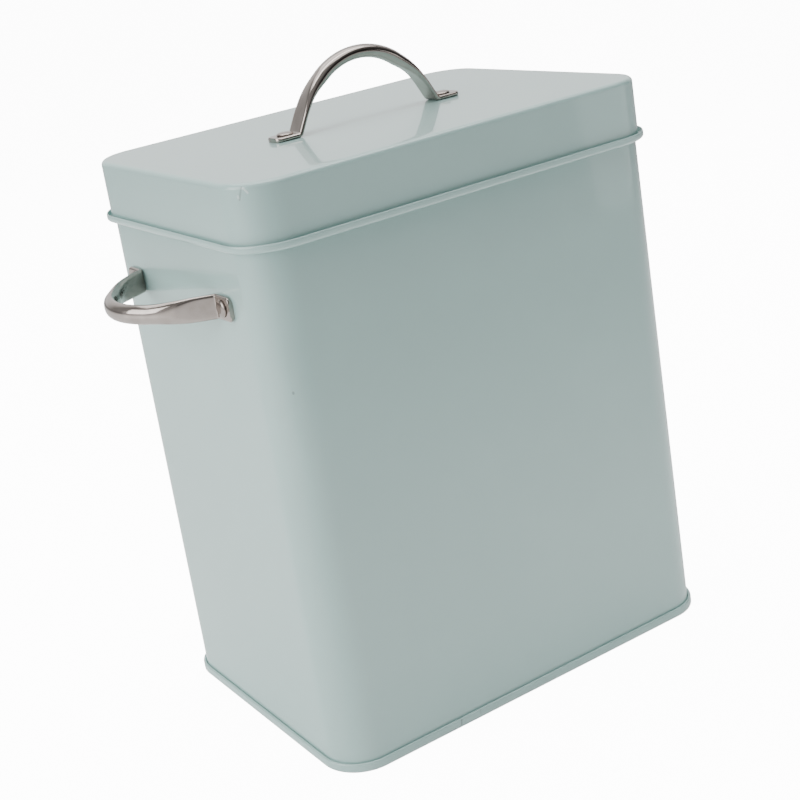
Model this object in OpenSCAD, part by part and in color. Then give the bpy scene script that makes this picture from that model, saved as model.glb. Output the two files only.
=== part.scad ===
// Lidded sheet steel powder tin with riveted tube handles, all sizes in mm.
// X runs along the long side, the front wall faces -Y and Z is up.
// The origin is in the middle of the underside.

/* [Tin] */
// Length of the body over the outer faces of its end walls
body_length = 200; // [170:1:240]
// Depth of the body over the outer faces of its front and back walls
body_depth = 142.7; // [120:0.1:180]
// Radius of the four upright corners on the outer face
corner_radius = 17.5; // [10:0.5:30]
// Height of the closed tin without the lid handle
tin_height = 252; // [200:0.1:300]
// Thickness of the sheet steel of the wall, the lid and the bottom
sheet = 0.4; // [0.3:0.05:0.6]

/* [Body wall] */
// Depth of the sheet folded back inside at the mouth
mouth_fold = 5; // [3:0.5:8]
// Room left inside the mouth fold and between the layers of the bottom seam
fold_gap = 0.15; // [0.05:0.01:0.2]
// Width of the inside lap that closes the wrapped wall at the back
lap_width = 6; // [4:0.5:10]

/* [Bottom seam] */
// Height of the double seam that joins the bottom to the wall
seam_height = 4; // [3:0.1:6]
// Height of the recessed bottom panel over the table, at its underside
recess = 4.6; // [4.2:0.1:8]
// Radius of the bend from the upright rim into the recessed bottom panel
recess_bend = 1; // [0.6:0.1:2]

/* [Lid] */
// Room between the body wall and the inside of the lid skirt
lid_gap = 1.05; // [0.5:0.05:1.5]
// Room between the top of the body wall and the underside of the lid top
mouth_drop = 0.25; // [0.2:0.05:1]
// Radius of the drawn edge around the lid top, outside
lid_edge = 2.2; // [1.5:0.1:4]
// Depth of the lid from its top down to the top of its curled rim
lid_depth = 23.7; // [16:0.1:40]
// Reach of the curled rim out from the body wall
rim_reach = 3.7; // [3:0.1:5]
// Height of the curled rim
rim_height = 3.2; // [2.6:0.1:4]

/* [Handles] */
// Height of the top of the handle arch over the face it stands on
handle_height = 32.2; // [26:0.1:38]
// Outer radius of the handle arch
handle_radius = 34; // [30:0.5:40]
// Width of the tube at the top of the arch
tube_width = 8.2; // [7:0.1:10]
// Thickness of the tube at the top of the arch
tube_thickness = 6.2; // [5:0.1:8]
// Width of the flattened foot
foot_width = 10.5; // [9.5:0.1:13]
// Thickness of the flattened foot
foot_thickness = 2; // [1.6:0.1:2.6]
// Length of a foot from its bend at the leg to its tip
foot_length = 10.95; // [9.5:0.05:14]
// Radius of the bend between leg and foot, at mid thickness
foot_bend = 1.6; // [1.2:0.1:3]
// Where the arch ends and the straight legs start, in degrees from its top
leg_angle = 62; // [52:1:72]
// Where the flattening starts, in degrees along the arch from its top
flatten_start = 34; // [20:1:50]
// Where the tube is fully flat, in degrees along the arch and leg from the top
flatten_end = 74; // [60:1:80]
// Drop from the top of the lid's curled rim to the middle of the side handles
side_handle_drop = 28.2; // [16:0.1:90]
// Shift of the side handles towards the back wall
side_handle_shift = 2.5; // [-4:0.1:4]
// Shift of the lid handle towards the front wall
lid_handle_shift = 2.7; // [-4:0.1:4]

/* [Rivets] */
// Distance of a rivet from the bend of its foot
rivet_place = 4.35; // [4:0.05:6]
// Diameter of the domed rivet head
rivet_head = 7.4; // [6:0.1:9]
// Height of the domed rivet head
rivet_dome = 1.3; // [0.8:0.1:2]
// Diameter of the rivet shank
rivet_shank = 4; // [3:0.1:5]
// Diameter of the rivet tail on the inside of the sheet
rivet_tail = 6.4; // [5:0.1:8]
// Thickness of the rivet tail
rivet_tail_thickness = 0.9; // [0.6:0.1:1.5]
// Room around the rivet shank in its holes
rivet_room = 0.05; // [0:0.01:0.2]

/* [Hidden] */
$fn = 96;
paint = [0.71, 0.76, 0.745];
steel = [0.66, 0.63, 0.60];

// Places worked out from the sizes above. Sheet profiles are drawn with x as the
// distance outside the body wall's outer face and y as the height.
mouth_top = tin_height - sheet - mouth_drop;
rim_crest = tin_height - lid_depth;
side_handle_height = rim_crest - side_handle_drop;
step = sheet + fold_gap;
seam_inner = -2 * sheet - fold_gap;
seam_outer = 3 * step;
skirt_outer = lid_gap + sheet;
hole = rivet_shank / 2 + rivet_room;
lap_low = seam_height + 2;
lap_high = mouth_top - mouth_fold - 1;

// Half of a ring of sheet, above its middle when up is 1 and below it when up is -1.
module bend(x, y, outer, up) {
    translate([x, y]) intersection() {
        difference() {
            circle(outer);
            if (outer - sheet > 0.01) circle(outer - sheet);
        }
        translate([-outer - 1, up > 0 ? 0 : -outer - 1]) square([2 * outer + 2, outer + 1]);
    }
}

// Upright run of sheet from height low to height high.
module run(x, low, high) {
    translate([x, low]) square([sheet, high - low]);
}

// Quarter ring of sheet in the quadrant towards qx, qy.
module quarter(x, y, outer, qx, qy) {
    translate([x, y]) intersection() {
        difference() { circle(outer); circle(outer - sheet); }
        translate([qx > 0 ? 0 : -outer - 1, qy > 0 ? 0 : -outer - 1]) square([outer + 1, outer + 1]);
    }
}

// Takes a sheet profile around the four walls and corners of the tin.
module around() {
    half_length = body_length / 2 - corner_radius;
    half_depth = body_depth / 2 - corner_radius;
    for (c = [[1, 1, 0], [-1, 1, 90], [-1, -1, 180], [1, -1, 270]])
        translate([c[0] * half_length, c[1] * half_depth, 0]) rotate([0, 0, c[2]])
            rotate_extrude(angle = 90) translate([corner_radius, 0]) children();
    for (s = [[0, half_length, half_depth], [90, half_depth, half_length],
              [180, half_length, half_depth], [270, half_depth, half_length]])
        rotate([0, 0, s[0]]) translate([-s[1], s[2] + corner_radius, 0])
            rotate([90, 0, 90]) linear_extrude(2 * s[1]) children();
}

// Flat plate with the tin's outline, grown by grow on every side.
module plate(grow, low, thick) {
    r = corner_radius + grow;
    l = body_length + 2 * grow;
    d = body_depth + 2 * grow;
    translate([0, 0, low]) linear_extrude(thick) union() {
        square([l - 2 * r, d], center = true);
        square([l, d - 2 * r], center = true);
        for (x = [-1, 1], y = [-1, 1])
            translate([x * (l / 2 - r), y * (d / 2 - r)]) circle(r);
    }
}

// Wall sheet with its inside fold at the mouth and its hook in the bottom seam.
module wall_profile() {
    turn = (2 * sheet + (sheet + 2 * fold_gap)) / 2;
    low = sheet + fold_gap + turn;
    fold = sheet + fold_gap / 2;
    run(-sheet, low, mouth_top - fold);
    bend(-fold, mouth_top - fold, fold, 1);
    run(seam_inner, mouth_top - mouth_fold, mouth_top - fold);
    bend(turn - sheet, low, turn, -1);
    run(2 * turn - 2 * sheet, low, seam_height - sheet - 3 * fold_gap);
}

// Bottom sheet: recessed panel rim, inner upright, outer upright and its hook.
module rim_profile() {
    foot = 0.7;
    hook = (3 * sheet + 2 * fold_gap) / 2;
    run(seam_inner - fold_gap, foot, recess + sheet - recess_bend);
    quarter(seam_inner - fold_gap + foot, foot, foot, -1, -1);
    translate([seam_inner - fold_gap + foot, 0])
        square([seam_outer - seam_inner + fold_gap - 2 * foot, sheet]);
    quarter(seam_outer - foot, foot, foot, 1, -1);
    run(seam_outer - sheet, foot, seam_height - hook);
    bend(seam_outer - hook, seam_height - hook, hook, 1);
    run(fold_gap, 1.5, seam_height - hook);
    quarter(seam_inner - fold_gap + sheet - recess_bend, recess + sheet - recess_bend,
            recess_bend, 1, 1);
}

// Lid sheet: drawn top edge, skirt and the rim curled out and up.
module lid_profile() {
    curl = (rim_reach - lid_gap) / 2;
    middle = rim_crest - rim_height + curl;
    run(lid_gap, middle, tin_height - lid_edge);
    quarter(skirt_outer - lid_edge, tin_height - lid_edge, lid_edge, 1, 1);
    bend(lid_gap + curl, middle, curl, -1);
    run(rim_reach - sheet, middle, rim_crest - sheet / 2);
    translate([rim_reach - sheet / 2, rim_crest - sheet / 2]) circle(sheet / 2);
}

// Share of the flattening at an angle from the top of the arch, from 0 to 1.
function ease(t) = t <= 0 ? 0 : t >= 1 ? 1 : t * t * (3 - 2 * t);
function flat(angle) = ease((angle - flatten_start) / (flatten_end - flatten_start));

// One cross section of the tube: half width, half thickness and edge round.
function tube_size(m) = [tube_width / 2 + m * (foot_width - tube_width) / 2,
                         tube_thickness / 2 + m * (foot_thickness - tube_thickness) / 2,
                         (tube_width / 2 - 0.15) * (1 - m) + m * foot_thickness / 2];

// Stations of half a handle from the top of the arch to the tip of the foot.
// Each one is [out, height, heading, half width, half thickness, edge round].
half_foot = foot_thickness / 2;
arch_low = handle_height - handle_radius;
leg_length = (arch_low + (handle_radius - half_foot) * cos(leg_angle) - half_foot
              - foot_bend * (1 - cos(leg_angle))) / sin(leg_angle);
foot_start = (handle_radius - half_foot + foot_bend) * sin(leg_angle)
             + leg_length * cos(leg_angle);
foot_reach = foot_start + foot_length;
rivet_reach = foot_start + rivet_place;
arch_steps = 16;
leg_steps = 5;
bend_steps = 5;
tip_steps = 4;
function arch_station(a) = let (s = tube_size(flat(a)), r = handle_radius - s[1])
    [r * sin(a), arch_low + r * cos(a), a, s[0], s[1], s[2]];
function leg_station(l) = let (s = tube_size(flat(leg_angle + l / handle_radius * 180 / PI)),
                               r = handle_radius - s[1])
    [r * sin(leg_angle) + l * cos(leg_angle), arch_low + r * cos(leg_angle) - l * sin(leg_angle),
     leg_angle, s[0], s[1], s[2]];
function bend_station(a) = [foot_start - foot_bend * sin(a), half_foot + foot_bend * (1 - cos(a)), a,
                            foot_width / 2, half_foot, half_foot];
tip_round = 2.6;
function tip_station(a) = [foot_reach - tip_round * (1 - sin(a)), half_foot, 0,
                           foot_width / 2 - tip_round * (1 - cos(a)), half_foot, half_foot];
half_stations = concat(
    [for (i = [1:arch_steps]) arch_station(i * leg_angle / arch_steps)],
    [for (i = [1:leg_steps]) leg_station(i * leg_length / leg_steps)],
    [for (i = [1:bend_steps]) bend_station(leg_angle * (1 - i / bend_steps))],
    [for (i = [0:tip_steps]) tip_station(i * 90 / tip_steps)]);
function mirrored(s) = [-s[0], s[1], -s[2], s[3], s[4], s[5]];
count = len(half_stations);
stations = concat([for (i = [count - 1:-1:0]) mirrored(half_stations[i])],
                  [arch_station(0)], half_stations);

// Outline of one section, as pairs across the tube and away from the arch middle.
edge_angles = concat([for (a = [0:15:90]) [a, 1]], [for (a = [90:15:180]) [a, -1]],
                     [for (a = [195:15:270]) [a, -1]], [for (a = [270:15:345]) [a, 1]]);
function section(s) = [for (e = edge_angles)
    [e[1] * (s[3] - s[5]) + s[5] * cos(e[0]), s[4] * sin(e[0])]];

// Flattened tube handle standing on z = 0, arch along X, with two rivet holes.
module handle() {
    n = len(edge_angles);
    points = [for (s = stations) for (p = section(s))
        [s[0] + p[1] * sin(s[2]), p[0], s[1] + p[1] * cos(s[2])]];
    last = len(stations) - 1;
    sides = [for (i = [0:last - 1]) for (j = [0:n - 1]) let (k = (j + 1) % n)
        each [[i * n + j, i * n + k, (i + 1) * n + k], [i * n + j, (i + 1) * n + k, (i + 1) * n + j]]];
    ends = concat([for (j = [1:n - 2]) [0, j + 1, j]],
                  [for (j = [1:n - 2]) [last * n, last * n + j, last * n + j + 1]]);
    difference() {
        polyhedron(points, concat(sides, ends));
        for (x = [-1, 1]) translate([x * rivet_reach, 0, -1]) cylinder(h = foot_thickness + 2, r = hole);
    }
}

// Domed rivet through a foot and the sheet, with z = 0 at the sheet's outer face.
module rivet() {
    ball = (pow(rivet_head / 2, 2) + pow(rivet_dome, 2)) / (2 * rivet_dome);
    rotate_extrude() {
        intersection() {
            translate([0, foot_thickness + rivet_dome - ball]) circle(ball);
            translate([0, foot_thickness]) square([rivet_head, rivet_dome + 1]);
        }
        translate([0, -sheet - rivet_tail_thickness / 2])
            square([rivet_shank / 2, foot_thickness + sheet + rivet_tail_thickness / 2]);
        translate([0, -sheet - rivet_tail_thickness])
            square([rivet_tail / 2, rivet_tail_thickness]);
    }
}

// Puts a child from handle space onto the lid top, the left wall or the right wall.
module on_lid() translate([0, -lid_handle_shift, tin_height]) children();
module on_left() translate([-body_length / 2, side_handle_shift, side_handle_height])
    rotate([0, -90, 0]) rotate([0, 0, 90]) children();
module on_right() translate([body_length / 2, side_handle_shift, side_handle_height])
    rotate([0, 90, 0]) rotate([0, 0, 90]) children();

module body_wall() color(paint) difference() {
    union() {
        around() wall_profile();
        translate([-lap_width / 2, body_depth / 2 - 2 * sheet, lap_low])
            cube([lap_width, 1.75 * sheet, lap_high - lap_low]);
    }
    for (y = [-1, 1]) translate([0, side_handle_shift + y * rivet_reach, side_handle_height])
        rotate([0, 90, 0]) cylinder(h = body_length + 2, r = hole, center = true);
}
module bottom_panel() color(paint) {
    around() rim_profile();
    plate(seam_inner - fold_gap + sheet - recess_bend, recess, sheet);
}
module lid() color(paint) difference() {
    union() {
        around() lid_profile();
        plate(skirt_outer - lid_edge, tin_height - sheet, sheet);
    }
    for (x = [-1, 1]) translate([x * rivet_reach, -lid_handle_shift, tin_height - 2])
        cylinder(h = 4, r = hole);
}
module lid_handle() color(steel) on_lid() handle();
module lid_rivet_left() color(steel) on_lid() translate([-rivet_reach, 0, 0]) rivet();
module lid_rivet_right() color(steel) on_lid() translate([rivet_reach, 0, 0]) rivet();
module left_handle() color(steel) on_left() handle();
module left_rivet_front() color(steel) on_left() translate([-rivet_reach, 0, 0]) rivet();
module left_rivet_back() color(steel) on_left() translate([rivet_reach, 0, 0]) rivet();
module right_handle() color(steel) on_right() handle();
module right_rivet_front() color(steel) on_right() translate([-rivet_reach, 0, 0]) rivet();
module right_rivet_back() color(steel) on_right() translate([rivet_reach, 0, 0]) rivet();

body_wall();
bottom_panel();
lid();
lid_handle();
lid_rivet_left();
lid_rivet_right();
left_handle();
left_rivet_front();
left_rivet_back();
right_handle();
right_rivet_front();
right_rivet_back();
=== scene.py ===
import math

import bmesh
import bpy
from mathutils import Matrix, Vector


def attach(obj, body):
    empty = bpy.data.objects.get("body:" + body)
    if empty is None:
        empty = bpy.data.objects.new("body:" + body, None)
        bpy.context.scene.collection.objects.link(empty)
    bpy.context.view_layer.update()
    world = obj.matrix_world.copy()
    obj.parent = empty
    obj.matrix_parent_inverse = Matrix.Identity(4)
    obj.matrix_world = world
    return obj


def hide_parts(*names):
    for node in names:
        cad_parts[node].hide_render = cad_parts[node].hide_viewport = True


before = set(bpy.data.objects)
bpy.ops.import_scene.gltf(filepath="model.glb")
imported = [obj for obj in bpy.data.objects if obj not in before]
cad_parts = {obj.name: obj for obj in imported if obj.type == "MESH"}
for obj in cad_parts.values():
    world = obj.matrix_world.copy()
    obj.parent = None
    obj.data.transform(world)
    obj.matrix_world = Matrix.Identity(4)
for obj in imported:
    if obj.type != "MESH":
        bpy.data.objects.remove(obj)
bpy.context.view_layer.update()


# Camera: the tin is seen from the front left and above, and the camera is rolled
# so that the tin leans in the picture. The shift places it in the frame as the
# photograph's crop does.
def add_object(name, data):
    """Puts new data into the scene as an object."""
    thing = bpy.data.objects.new(name, data)
    bpy.context.scene.collection.objects.link(thing)
    return thing


view_turn = math.radians(-28.959)
view_rise = math.radians(14.995)
view_roll = math.radians(-9.753)
camera_place = Vector((-0.34527, -0.5642, 0.35847))
focal_pixels = 1520.5
axis_pixel = (324.17, 282.08)
picture_size = 800
sensor_width = 36

camera_data = bpy.data.cameras.new("camera")
camera_data.sensor_width = sensor_width
camera_data.lens = focal_pixels * sensor_width / picture_size
camera_data.shift_x = (picture_size / 2 - axis_pixel[0]) / picture_size
camera_data.shift_y = (axis_pixel[1] - picture_size / 2) / picture_size
camera_data.clip_start = 0.01
camera_data.clip_end = 100
camera = add_object("camera", camera_data)
camera.matrix_world = (Matrix.Translation(camera_place)
                       @ Matrix.Rotation(view_turn, 4, "Z")
                       @ Matrix.Rotation(math.pi / 2 - view_rise, 4, "X")
                       @ Matrix.Rotation(view_roll, 4, "Z"))
bpy.context.scene.camera = camera


# Floor: a plain white sheet under the tin. It looks white to the camera and glows a little round
# the tin. Its colour is darkened with painted shade far from a point behind the tin, so it throws
# less light back far from the wall behind.
def feed(tree, value, slot):
    """Sets an input socket to a constant, or joins an output socket to it."""
    if isinstance(value, bpy.types.NodeSocket):
        tree.links.new(value, slot)
    else:
        slot.default_value = value


def math_node(tree, operation, *values, clamp=False):
    """Adds a Math node on the values and returns its output."""
    node = tree.nodes.new("ShaderNodeMath")
    node.operation = operation
    node.use_clamp = clamp
    for slot, value in zip(node.inputs, values):
        feed(tree, value, slot)
    return node.outputs[0]


def vector_node(tree, operation, *values):
    """Adds a Vector Math node on the values and returns the node."""
    node = tree.nodes.new("ShaderNodeVectorMath")
    node.operation = operation
    for slot, value in zip(node.inputs, values):
        feed(tree, value, slot)
    return node


def range_node(tree, value, low, high, to_low=0.0, to_high=1.0):
    """Adds a smooth Map Range node from low..high to to_low..to_high."""
    node = tree.nodes.new("ShaderNodeMapRange")
    node.interpolation_type = "SMOOTHSTEP"
    for label, number in (("Value", value), ("From Min", low), ("From Max", high),
                          ("To Min", to_low), ("To Max", to_high)):
        feed(tree, number, node.inputs[label])
    return node.outputs["Result"]


def new_material(name):
    """Makes a material and returns it with its node tree and its shader."""
    material = bpy.data.materials.new(name)
    material.use_nodes = True
    return material, material.node_tree, material.node_tree.nodes["Principled BSDF"]


floor_half_size = 30
glow_centre = (0.1, -0.1, 0)
shade_centre = (-0.1, 0.25, 0)
camera_glow = 12.0

floor_mesh = bpy.data.meshes.new("floor")
bm = bmesh.new()
bmesh.ops.create_grid(bm, x_segments=1, y_segments=1, size=floor_half_size)
bm.to_mesh(floor_mesh)
bm.free()
floor = add_object("floor", floor_mesh)
floor_paper, tree, shader = new_material("white_floor")
shader.inputs["Roughness"].default_value = 0.9
shader.inputs["Specular IOR Level"].default_value = 0.1
shader.inputs["Emission Color"].default_value = (1, 1, 1, 1)
place = tree.nodes.new("ShaderNodeTexCoord").outputs["Object"]
from_glow = vector_node(tree, "DISTANCE", place, glow_centre).outputs["Value"]
from_shade = vector_node(tree, "DISTANCE", place, shade_centre).outputs["Value"]
near_glow = range_node(tree, from_glow, 0.08, 0.5, to_low=0.22, to_high=0.0)
# Painted shade: the floor's colour darkens far from the point behind the tin, so it throws less
# light back.
painted_floor_shade = range_node(tree, from_shade, 0.75, 1.6, to_low=0.95, to_high=0.42)
seen = tree.nodes.new("ShaderNodeLightPath").outputs["Is Camera Ray"]
feed(tree, painted_floor_shade, shader.inputs["Base Color"])
feed(tree, math_node(tree, "MULTIPLY_ADD", seen, camera_glow, near_glow),
     shader.inputs["Emission Strength"])
floor_mesh.materials.append(floor_paper)


# Light: a white room that is bright above, behind and to the left and dim in front,
# soft boxes over the tin and on both sides, a strip above it and a card at its left.
to_bright_side = (-0.5, 0.45, 0.74)
to_backdrop = (0.46, 0.82, 0.34)

room = bpy.data.worlds.new("room")
room.use_nodes = True
tree = room.node_tree
room_light = tree.nodes["Background"]
room_light.inputs["Color"].default_value = (1, 1, 1, 1)
looking = tree.nodes.new("ShaderNodeTexCoord").outputs["Generated"]
sideways = vector_node(tree, "DOT_PRODUCT", looking, to_bright_side).outputs["Value"]
backwards = vector_node(tree, "DOT_PRODUCT", looking, to_backdrop).outputs["Value"]
side_light = range_node(tree, sideways, -0.45, 0.55, to_low=0.03, to_high=0.44)
back_light = range_node(tree, backwards, 0.5, 0.9, to_low=0.0, to_high=0.88)
feed(tree, math_node(tree, "ADD", side_light, back_light), room_light.inputs["Strength"])
bpy.context.scene.world = room


def soft_box(name, place, aim, width, height, power):
    """Hangs a rectangular soft light at a place, facing a point."""
    lamp = bpy.data.lights.new(name, "AREA")
    lamp.shape = "RECTANGLE"
    lamp.size = width
    lamp.size_y = height
    lamp.energy = power
    box = add_object(name, lamp)
    box.location = place
    box.rotation_euler = (Vector(aim) - Vector(place)).to_track_quat("-Z", "Y").to_euler()


soft_box("left_box", (-1.9, 0.1, 0.9), (0, 0, 0.12), width=1.6, height=1.4, power=31)
soft_box("top_box", (0.2, 0.2, 2.0), (0.1, 0.1, 0.2), width=2.6, height=2.0, power=38)
soft_box("strip_box", (0.1, -0.1, 1.8), (0.1, -0.1, 0.2), width=2.0, height=0.14, power=8)
soft_box("right_box", (1.3, -1.0, 0.3), (0.05, -0.05, 0.1), width=0.8, height=0.6, power=2)
soft_box("left_card", (-0.62, -0.12, 0.2), (0, -0.12, 0.2), width=0.9, height=0.4, power=0.4)


# Paint: glossy pale grey-green powder coat on all the sheet steel. It flows a
# little unevenly, so it has a faint skin like orange peel and a slow change of tone.
paint_colour = (0.378, 0.552, 0.527)
dark_share = 0.965
light_share = 1.03
skin_depth = 0.00012


def noise_node(tree, place, scale, detail):
    """Adds a Noise Texture read at a place and returns its factor."""
    node = tree.nodes.new("ShaderNodeTexNoise")
    node.inputs["Scale"].default_value = scale
    node.inputs["Detail"].default_value = detail
    feed(tree, place, node.inputs["Vector"])
    return node.outputs[0]


def mix_colour(tree, factor, first, second):
    """Mixes two colours by a factor."""
    node = tree.nodes.new("ShaderNodeMix")
    node.data_type = "RGBA"
    factor_slot, first_slot, second_slot = node.inputs[0], node.inputs[6], node.inputs[7]
    for slot, value in ((factor_slot, factor), (first_slot, first), (second_slot, second)):
        feed(tree, value, slot)
    return node.outputs[2]


def toned(colour, share):
    """A colour at a share of its brightness, with the fourth value that sockets want."""
    return tuple(part * share for part in colour) + (1,)


def shader_group(name, inputs, outputs):
    """Starts a node group and returns it with what it is given and what it puts out."""
    group = bpy.data.node_groups.new(name, "ShaderNodeTree")
    for label, kind in inputs:
        group.interface.new_socket(name=label, in_out="INPUT", socket_type=kind)
    for label in outputs:
        group.interface.new_socket(name=label, in_out="OUTPUT", socket_type="NodeSocketFloat")
    start, end = group.nodes.new("NodeGroupInput"), group.nodes.new("NodeGroupOutput")
    return group, start.outputs, end.inputs


# The coat group gives the paint's tone, gloss and skin from a place on the tin.
coat, given, result = shader_group("powder_coat", [("Place", "NodeSocketVector")],
                                   ["Tone", "Roughness", "Skin"])
broad_cloud = noise_node(coat, given["Place"], scale=9, detail=3)
small_cloud = noise_node(coat, given["Place"], scale=60, detail=4)
orange_peel = noise_node(coat, given["Place"], scale=420, detail=2)
wave = noise_node(coat, given["Place"], scale=26, detail=1)
broad_tone = range_node(coat, broad_cloud, 0.3, 0.7, to_low=-0.4, to_high=0.4)
small_tone = range_node(coat, small_cloud, 0.3, 0.7, to_low=-0.5, to_high=0.5)
feed(coat, math_node(coat, "ADD", broad_tone, math_node(coat, "MULTIPLY", small_tone, 0.12)),
     result["Tone"])
feed(coat, range_node(coat, broad_cloud, 0.25, 0.75, to_low=0.28, to_high=0.31),
     result["Roughness"])
feed(coat, math_node(coat, "ADD", math_node(coat, "MULTIPLY", orange_peel, 0.12), wave),
     result["Skin"])

# The stroke group marks the places within a width of a line from start to end.
stroke, given, result = shader_group(
    "stroke",
    [("Place", "NodeSocketVector"), ("Start", "NodeSocketVector"),
     ("End", "NodeSocketVector"), ("Width", "NodeSocketFloat")],
    ["Mark"])
from_start = vector_node(stroke, "SUBTRACT", given["Place"], given["Start"]).outputs[0]
whole = vector_node(stroke, "SUBTRACT", given["End"], given["Start"]).outputs[0]
share = math_node(stroke, "DIVIDE",
                  vector_node(stroke, "DOT_PRODUCT", from_start, whole).outputs["Value"],
                  vector_node(stroke, "DOT_PRODUCT", whole, whole).outputs["Value"], clamp=True)
along = vector_node(stroke, "SCALE", whole)
feed(stroke, share, along.inputs["Scale"])
off_line = vector_node(stroke, "SUBTRACT", from_start, along.outputs[0]).outputs[0]
distance = vector_node(stroke, "LENGTH", off_line).outputs["Value"]
full_width = math_node(stroke, "MULTIPLY", given["Width"], 0.35)
feed(stroke, range_node(stroke, distance, full_width, given["Width"], 1.0, 0.0), result["Mark"])


def painted(name, marks):
    """Makes one piece's paint. Each mark is (start, end, width, colour, strength, depth)."""
    paint, tree, shader = new_material(name)
    shader.inputs["Specular IOR Level"].default_value = 0.55
    shader.inputs["Coat Roughness"].default_value = 0.03
    shader.inputs["Coat Weight"].default_value = 0.8
    place = tree.nodes.new("ShaderNodeTexCoord").outputs["Object"]
    skin = tree.nodes.new("ShaderNodeGroup")
    skin.node_tree = coat
    feed(tree, place, skin.inputs["Place"])
    colour = mix_colour(tree, range_node(tree, skin.outputs["Tone"], -0.7, 0.7),
                        toned(paint_colour, dark_share), toned(paint_colour, light_share))
    height = skin.outputs["Skin"]
    for start, end, width, tone, strength, depth in marks:
        mark = tree.nodes.new("ShaderNodeGroup")
        mark.node_tree = stroke
        for label, value in (("Place", place), ("Start", start), ("End", end), ("Width", width)):
            feed(tree, value, mark.inputs[label])
        tinted = math_node(tree, "MULTIPLY", mark.outputs["Mark"], strength)
        colour = mix_colour(tree, tinted, colour, tone)
        if depth:
            dent = math_node(tree, "MULTIPLY", mark.outputs["Mark"], depth)
            height = math_node(tree, "ADD", height, dent)
    feed(tree, colour, shader.inputs["Base Color"])
    feed(tree, skin.outputs["Roughness"], shader.inputs["Roughness"])
    bump = tree.nodes.new("ShaderNodeBump")
    bump.inputs["Strength"].default_value = 0.35
    bump.inputs["Distance"].default_value = skin_depth
    feed(tree, height, bump.inputs["Height"])
    feed(tree, bump.outputs["Normal"], shader.inputs["Normal"])
    return paint


# Body wall: one sheet wrapped round four walls with rounded upright corners. It is
# folded back inside at the mouth, hooked outwards into the seam at the bottom, and
# closed by a lap down the inside of the back.
half_length = 0.100
half_depth = 0.07135
corner = 0.0175
sheet = 0.0004
mid = sheet / 2
fold_gap = 0.00015
mouth_top = 0.25135
corner_steps = 18
edge_strip = 0.0006
weld = 1e-6
level = 1e-7


def start_profile(bm, out, height):
    """Puts the first point of a sheet profile at the left end of the front wall."""
    place = (-half_length + corner, -half_depth - out, height)
    return bmesh.ops.create_vert(bm, co=place)["vert"][0]


def run_to(bm, tip, out, height):
    """Carries the profile on in a straight line to a distance out and a height."""
    point = bmesh.ops.extrude_vert_indiv(bm, verts=[tip])["verts"][0]
    point.co = Vector((point.co.x, -half_depth - out, height))
    return point


def bend_by(bm, tip, centre_out, centre_height, degrees, steps):
    """Carries the profile on round a bend. Positive degrees turn from outside to above."""
    centre = Vector((tip.co.x, -half_depth - centre_out, centre_height))
    made = bmesh.ops.spin(bm, geom=[tip], cent=centre, axis=(1, 0, 0),
                          angle=math.radians(-degrees), steps=steps)
    return [g for g in made["geom_last"] if isinstance(g, bmesh.types.BMVert)][0]


def wrap_round_tin(bm):
    """Takes the profile in bm round the four walls and corners, and closes it.

    Each flat wall begins and ends with a narrow strip, so that its middle is shaded flat.
    """
    reach_x, reach_y = half_length - corner, half_depth - corner
    edges = list(bm.edges)
    heading = Vector((1, 0, 0))
    for run, centre in ((2 * reach_x, (reach_x, -half_depth + corner, 0)),
                        (2 * reach_y, (reach_x, reach_y, 0)),
                        (2 * reach_x, (-half_length + corner, reach_y, 0)),
                        (2 * reach_y, (-half_length + corner, -half_depth + corner, 0))):
        for part in (edge_strip, run - 2 * edge_strip, edge_strip):
            made = bmesh.ops.extrude_edge_only(bm, edges=edges)["geom"]
            bmesh.ops.translate(bm, verts=[g for g in made if isinstance(g, bmesh.types.BMVert)],
                                vec=heading * part)
            edges = [g for g in made if isinstance(g, bmesh.types.BMEdge)
                     and abs((g.verts[0].co - g.verts[1].co).dot(heading)) < level]
        made = bmesh.ops.spin(bm, geom=edges, cent=centre, axis=(0, 0, 1),
                              angle=math.radians(90), steps=corner_steps)["geom_last"]
        edges = [g for g in made if isinstance(g, bmesh.types.BMEdge)]
        heading = Matrix.Rotation(math.radians(90), 3, "Z") @ heading
    bmesh.ops.remove_doubles(bm, verts=bm.verts, dist=weld)


def make_piece(name, bm, material, sharp):
    """Makes the piece that bm holds, smooth but for edges sharper than so many degrees."""
    mesh = bpy.data.meshes.new(name)
    bm.to_mesh(mesh)
    bm.free()
    mesh.shade_smooth()
    mesh.set_sharp_from_angle(angle=math.radians(sharp))
    mesh.materials.append(material)
    return add_object(name, mesh)


def finish_sheet(name, bm, paint, body, node):
    """Gives the sheet in bm its real thickness, and lets it stand for its node."""
    bmesh.ops.recalc_face_normals(bm, faces=bm.faces)
    piece = make_piece(name, bm, paint, sharp=50)
    gauge = piece.modifiers.new("gauge", "SOLIDIFY")
    gauge.thickness = sheet
    gauge.offset = 0
    gauge.use_even_offset = True
    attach(piece, body)
    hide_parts(node)


hook_radius = sheet + fold_gap
hook_out = 2 * hook_radius - mid
hook_low = 0.0013
hook_top = 0.0031
fold_radius = (sheet + fold_gap) / 2
fold_start = mouth_top - mid - fold_radius
fold_length = 0.005

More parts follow.
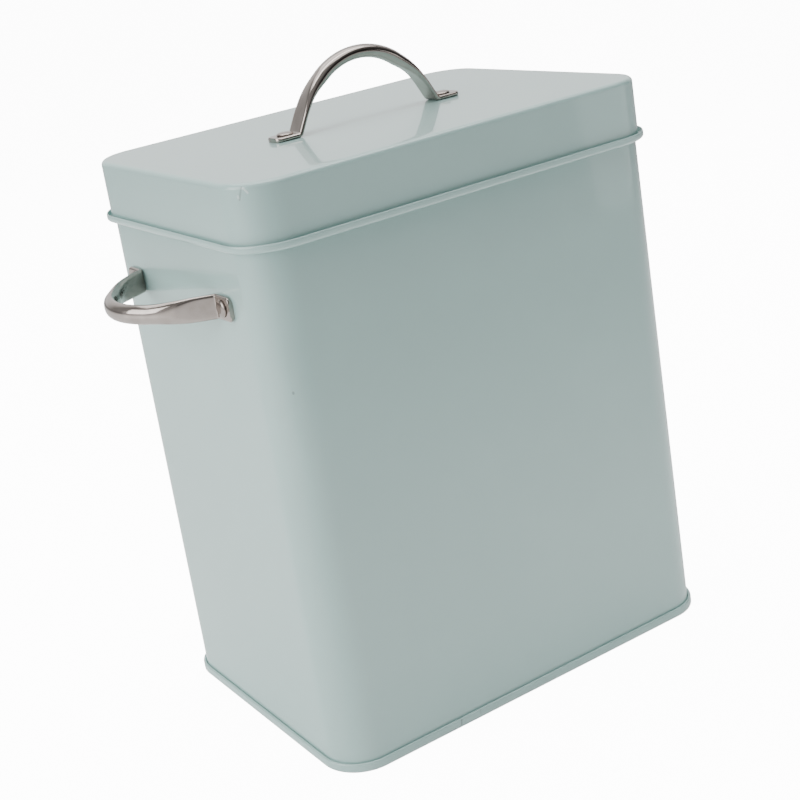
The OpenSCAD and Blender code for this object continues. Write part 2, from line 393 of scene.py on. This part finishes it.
bm = bmesh.new()
tip = start_profile(bm, hook_out, hook_top)
tip = run_to(bm, tip, hook_out, hook_low)
tip = bend_by(bm, tip, hook_radius - mid, hook_low, degrees=-180, steps=10)
tip = run_to(bm, tip, -mid, fold_start)
tip = bend_by(bm, tip, -mid - fold_radius, fold_start, degrees=180, steps=10)
run_to(bm, tip, -mid - 2 * fold_radius, mouth_top - fold_length)
wrap_round_tin(bm)
# A dark colour for flecks, a line down the back and ticks on the bottom seam; in the lid's crease
# it is painted shade.
dark_mark_and_crease_shade = (0.16, 0.21, 0.2, 1)
wall_marks = [
    ((-0.0925, -0.0682, 0.1676), (-0.0925, -0.0682, 0.1680), 0.0007, dark_mark_and_crease_shade, 0.6, 0),
    ((0.003, half_depth, 0.0058), (0.003, half_depth, 0.2511), 0.0004, dark_mark_and_crease_shade, 0.5, -2)]
wall_paint = painted("wall_paint", wall_marks)
finish_sheet("body_wall_sheet", bm, wall_paint, "body", "body_wall")

lap_width = 0.006
lap_low = 0.006
lap_high = 0.24535
lap_inset = 1.4 * sheet

bm = bmesh.new()
bmesh.ops.create_grid(bm, x_segments=1, y_segments=1, size=0.5)
for v in bm.verts:
    lap_height = lap_low + (v.co.y + 0.5) * (lap_high - lap_low)
    v.co = Vector((v.co.x * lap_width, half_depth - lap_inset, lap_height))
finish_sheet("body_wall_lap", bm, wall_paint, "body", "body_wall")


# Bottom panel: one drawn sheet, recessed so that the tin stands on the seam. Its
# edge wraps the wall's hook in a double seam that stands out all round.
def close_ring_above(bm, height):
    """Fills the open ring of edges that lies above a height with a flat face."""
    ring = [e for e in bm.edges if e.is_boundary and all(v.co.z > height for v in e.verts)]
    bmesh.ops.edgeloop_fill(bm, edges=ring)


seam_out = 3 * (sheet + fold_gap)
seam_in = -2 * (sheet + fold_gap)
seam_round = 0.0007
rise_round = 0.001
hem_out = fold_gap + mid
hem_low = 0.0015
hem_top = 0.00325
rise_top = 0.0040
panel_height = 0.0048
panel_start = -0.004

bm = bmesh.new()
tip = start_profile(bm, hem_out, hem_low)
tip = run_to(bm, tip, hem_out, hem_top)
tip = bend_by(bm, tip, (fold_gap + seam_out) / 2, hem_top, degrees=-180, steps=10)
tip = run_to(bm, tip, seam_out - mid, seam_round)
tip = bend_by(bm, tip, seam_out - seam_round, seam_round, degrees=-90, steps=6)
tip = run_to(bm, tip, seam_in + seam_round, mid)
tip = bend_by(bm, tip, seam_in + seam_round, seam_round, degrees=-90, steps=6)
tip = run_to(bm, tip, seam_in + mid, rise_top)
tip = bend_by(bm, tip, seam_in + sheet - rise_round, rise_top, degrees=90, steps=6)
run_to(bm, tip, panel_start, panel_height)
wrap_round_tin(bm)
close_ring_above(bm, rise_top)
seam_marks = [
    ((-0.0440, -0.0730, 0.0014), (-0.0435, -0.0730, 0.0036), 0.0005, dark_mark_and_crease_shade, 0.7, -1),
    ((-0.0336, -0.0730, 0.0024), (-0.0334, -0.0730, 0.0036), 0.0004, dark_mark_and_crease_shade, 0.4, -1)]
finish_sheet("bottom_panel_sheet", bm, painted("bottom_paint", seam_marks), "body", "bottom_panel")


# Lid: one drawn shell with a flat top, a rounded edge and a deep skirt. The lower
# edge of the skirt is curled out and up into an open rim, its lip leaning in a little.
lid_top = 0.252
lid_edge = 0.0022
edge_out_to_flat = 0.004
skirt_mid = 0.00125
rim_mid = 0.00349
rim_centre = (skirt_mid + rim_mid) / 2
rim_radius = (rim_mid - skirt_mid) / 2
rim_crest = 0.2283
rim_depth = 0.0032
rim_low = rim_crest - rim_depth + rim_radius + mid
lip_lean = 0.00028
lip_steps = ((0.00013, 0.0003), (0.00004, 0.0006), (0, 0.001))

bm = bmesh.new()
tip = start_profile(bm, rim_mid - lip_lean, rim_crest)
for inwards, below in lip_steps:
    tip = run_to(bm, tip, rim_mid - inwards, rim_crest - below)
tip = run_to(bm, tip, rim_mid, rim_low)
tip = bend_by(bm, tip, rim_centre, rim_low, degrees=-180, steps=14)
tip = run_to(bm, tip, skirt_mid, lid_top - lid_edge)
tip = bend_by(bm, tip, skirt_mid - lid_edge + mid, lid_top - lid_edge, degrees=90, steps=8)
run_to(bm, tip, skirt_mid - lid_edge - edge_out_to_flat, lid_top - mid)
wrap_round_tin(bm)
close_ring_above(bm, lid_top - lid_edge)
# A light colour for painted highlight on the ridges beside the lid's crease.
crease_highlight = (0.62, 0.74, 0.72, 1)
lid_marks = [
    # Painted shade down the crease at the lid's front left corner, dented in the bump.
    ((-0.0971, -0.0659, 0.2516), (-0.0983, -0.0644, 0.2461), 0.0006, dark_mark_and_crease_shade, 0.55, -1.5),
    # This mark and the next are painted highlights beside the crease, raised in the bump.
    ((-0.0968, -0.0663, 0.2503), (-0.0959, -0.0673, 0.2485), 0.0006, crease_highlight, 0.9, 2),
    ((-0.0985, -0.0640, 0.2468), (-0.0985, -0.0640, 0.2474), 0.0007, crease_highlight, 0.8, 2),
    ((-0.0873, -0.0089, 0.2520), (-0.0868, -0.0089, 0.2520), 0.0010, dark_mark_and_crease_shade, 0.16, 0)]
finish_sheet("lid_sheet", bm, painted("lid_paint", lid_marks), "lid", "lid")


# Nickel: the handles and rivets are steel with a smooth satin nickel face, warm grey,
# with only a faint cloud in its tone and polish.
cloud_nickel = (0.34, 0.302, 0.276)
clear_nickel = (0.4, 0.36, 0.333)


def nickel(name, tone, rough):
    """Makes the satin nickel material for one kind of piece."""
    metal, tree, shader = new_material(name)
    shader.inputs["Metallic"].default_value = 1.0
    place = tree.nodes.new("ShaderNodeTexCoord").outputs["Object"]
    cloud = noise_node(tree, place, scale=120, detail=3)
    polish = noise_node(tree, place, scale=300, detail=3)
    colour = mix_colour(tree, range_node(tree, cloud, 0.3, 0.7),
                        toned(cloud_nickel, tone), toned(clear_nickel, tone))
    feed(tree, colour, shader.inputs["Base Color"])
    feed(tree, range_node(tree, polish, 0.3, 0.7, to_low=rough - 0.02, to_high=rough + 0.03),
         shader.inputs["Roughness"])
    return metal


def finish_nickel(name, bm, metal, place, body, node, sharp):
    """Puts a nickel piece where the matrix says, and lets it stand for its node."""
    bmesh.ops.recalc_face_normals(bm, faces=bm.faces)
    bmesh.ops.transform(bm, matrix=place, verts=bm.verts)
    piece = make_piece(name, bm, metal, sharp)
    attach(piece, body)
    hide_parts(node)


# Handles: three like lengths of steel tube bent to an arch. Each end is pressed flat
# in a die, bent outwards and punched for one rivet.
arch_radius = 0.034
arch_top = 0.0322
arch_low = arch_top - arch_radius
leg_angle = 62
leg_lean = math.radians(leg_angle)
tube_half_width = 0.0041
tube_half_depth = 0.0031
tube_flat = tube_half_depth * 1.04
foot_half_width = 0.00525
foot_half_depth = 0.001
foot_bulge = 0.0019
foot_bend = 0.0016
foot_reach = 0.0478
foot_round = 0.0026
press_start = 34
press_end = 74
flat_share = 0.8
soft_share = 0.2
ring_points = 64
arch_steps = 40
leg_steps = 10
bend_steps = 8
round_steps = 7
round_turn = math.radians(13)
leg_length = (arch_low + (arch_radius - foot_half_depth) * math.cos(leg_lean) - foot_half_depth
              - foot_bend * (1 - math.cos(leg_lean))) / math.sin(leg_lean)
foot_start = ((arch_radius - foot_half_depth + foot_bend) * math.sin(leg_lean)
              + leg_length * math.cos(leg_lean))


def tube_sizes(degrees):
    """Half width, half depth and bulge of the tube at an angle from the arch's top."""
    pressed = min(max((degrees - press_start) / (press_end - press_start), 0), 1)
    pressed = pressed * pressed * (3 - 2 * pressed)
    return (tube_half_width + pressed * (foot_half_width - tube_half_width),
            tube_flat + pressed * (foot_half_depth - tube_flat),
            tube_half_depth + pressed * (foot_bulge - tube_half_depth))


def half_handle():
    """Stations from beside the arch's top to a foot's tip: out, height, lean and tube sizes."""
    stations = []
    for step in range(1, arch_steps + 1):
        lean = leg_angle * step / arch_steps
        sizes = tube_sizes(lean)
        radius = arch_radius - min(sizes[1], tube_half_depth)
        stations.append((radius * math.sin(math.radians(lean)),
                         arch_low + radius * math.cos(math.radians(lean)), lean) + sizes)
    for step in range(1, leg_steps + 1):
        down = leg_length * step / leg_steps
        sizes = tube_sizes(leg_angle + math.degrees(down / arch_radius))
        radius = arch_radius - min(sizes[1], tube_half_depth)
        stations.append((radius * math.sin(leg_lean) + down * math.cos(leg_lean),
                         arch_low + radius * math.cos(leg_lean) - down * math.sin(leg_lean),
                         leg_angle) + sizes)
    for step in range(1, bend_steps + 1):
        lean = leg_angle * (1 - step / bend_steps)
        stations.append((foot_start - foot_bend * math.sin(math.radians(lean)),
                         foot_half_depth + foot_bend * (1 - math.cos(math.radians(lean))),
                         lean, foot_half_width, foot_half_depth, foot_bulge))
    for step in range(round_steps):
        turn = step * round_turn
        half_width = foot_half_width - foot_round * (1 - math.cos(turn))
        stations.append((foot_reach - foot_round * (1 - math.sin(turn)), foot_half_depth, 0,
                         half_width, foot_half_depth, foot_bulge))
    return stations


def tube_ring(bm, out, height, lean, half_width, half_depth, bulge):
    """Makes one ring of the tube, oval or pressed between two flats."""
    ring = bmesh.ops.create_circle(bm, segments=ring_points, radius=1, cap_ends=False)["verts"]
    for v in ring:
        across, away = v.co.x * half_width, v.co.y * bulge
        if abs(away) > half_depth * flat_share:
            over = (abs(away) - half_depth * flat_share) / (half_depth * soft_share)
            away = math.copysign(half_depth * (flat_share + soft_share * math.tanh(over)), away)
        v.co = Vector((0, across, away))
    turn = Matrix.Rotation(math.radians(lean), 4, "Y")
    bmesh.ops.transform(bm, matrix=Matrix.Translation((out, 0, height)) @ turn, verts=ring)
    return ring


def ring_edges(ring):
    """The edges that join a ring's own points, each once and in the ring's order."""
    own = set(ring)
    return list(dict.fromkeys(e for v in ring for e in v.link_edges if e.other_vert(v) in own))


def make_handle(name, place, body, node):
    """Joins the rings along a handle that stands on its feet, and closes both ends."""
    right = half_handle()
    left = [(-out, height, -lean, *sizes) for out, height, lean, *sizes in reversed(right)]
    crown = (0, arch_low + arch_radius - tube_half_depth, 0, *tube_sizes(0))
    bm = bmesh.new()
    before = None
    for station in left + [crown] + right:
        ring = tube_ring(bm, *station)
        if before:
            bmesh.ops.bridge_loops(bm, edges=ring_edges(before) + ring_edges(ring))
        else:
            bmesh.ops.edgeloop_fill(bm, edges=ring_edges(ring))
        before = ring
    bmesh.ops.edgeloop_fill(bm, edges=ring_edges(before))
    finish_nickel(name, bm, handle_nickel, place, body, node, sharp=50)


lid_handle_y = -0.0027
end_handle_y = 0.0025
end_handle_height = 0.2001


def on_end_wall(side):
    """The place of a handle on the left (-1) or right (1) end wall, its arch outwards."""
    return (Matrix.Translation((side * half_length, end_handle_y, end_handle_height))
            @ Matrix.Rotation(math.radians(side * 90), 4, "Y")
            @ Matrix.Rotation(math.radians(90), 4, "Z"))


handle_nickel = nickel("satin_nickel", tone=1.0, rough=0.12)
on_lid = Matrix.Translation((0, lid_handle_y, lid_top))
on_left = on_end_wall(-1)
on_right = on_end_wall(1)
make_handle("lid_handle_tube", on_lid, "lid", "lid_handle")
make_handle("left_handle_tube", on_left, "body", "left_handle")
make_handle("right_handle_tube", on_right, "body", "right_handle")


# Rivets: one through each foot, with a low pan head outside that is rounded under its
# rim, and a flat tail inside. They are the same nickel as the handles.
rivet_nickel = nickel("rivet_nickel", tone=0.85, rough=0.17)
rivet_reach = 0.0412
rivet_steps = 56
foot_top = 2 * foot_half_depth
head_profile = [(0, 0.00126), (0.0015, 0.00122), (0.0026, 0.00108), (0.0032, 0.00088),
                (0.00355, 0.00064), (0.0037, 0.0004), (0.00362, 0.00016), (0.0034, 0), (0.002, 0)]
tail_profile = [(0.002, 0), (0.0032, 0), (0.0032, -0.0007), (0.003, -0.0009), (0, -0.0009)]
rivet_profile = ([(out, foot_top + height) for out, height in head_profile]
                 + [(out, height - sheet) for out, height in tail_profile])


def make_rivet(name, place, body, node):
    """Spins the rivet's profile, from the middle of its head to the middle of its tail."""
    bm = bmesh.new()
    profile = [bmesh.ops.create_vert(bm, co=(out, 0, height))["vert"][0]
               for out, height in rivet_profile]
    sides = [bm.edges.new(pair) for pair in zip(profile, profile[1:])]
    bmesh.ops.spin(bm, geom=sides, cent=(0, 0, 0), axis=(0, 0, 1),
                   angle=2 * math.pi, steps=rivet_steps, use_merge=True)
    bmesh.ops.remove_doubles(bm, verts=bm.verts, dist=weld)
    finish_nickel(name, bm, rivet_nickel, place, body, node, sharp=40)


for node, place, side, body in (("lid_rivet_left", on_lid, -1, "lid"),
                                ("lid_rivet_right", on_lid, 1, "lid"),
                                ("left_rivet_front", on_left, -1, "body"),
                                ("left_rivet_back", on_left, 1, "body"),
                                ("right_rivet_front", on_right, -1, "body"),
                                ("right_rivet_back", on_right, 1, "body")):
    make_rivet(node + "_pin", place @ Matrix.Translation((side * rivet_reach, 0, 0)), body, node)
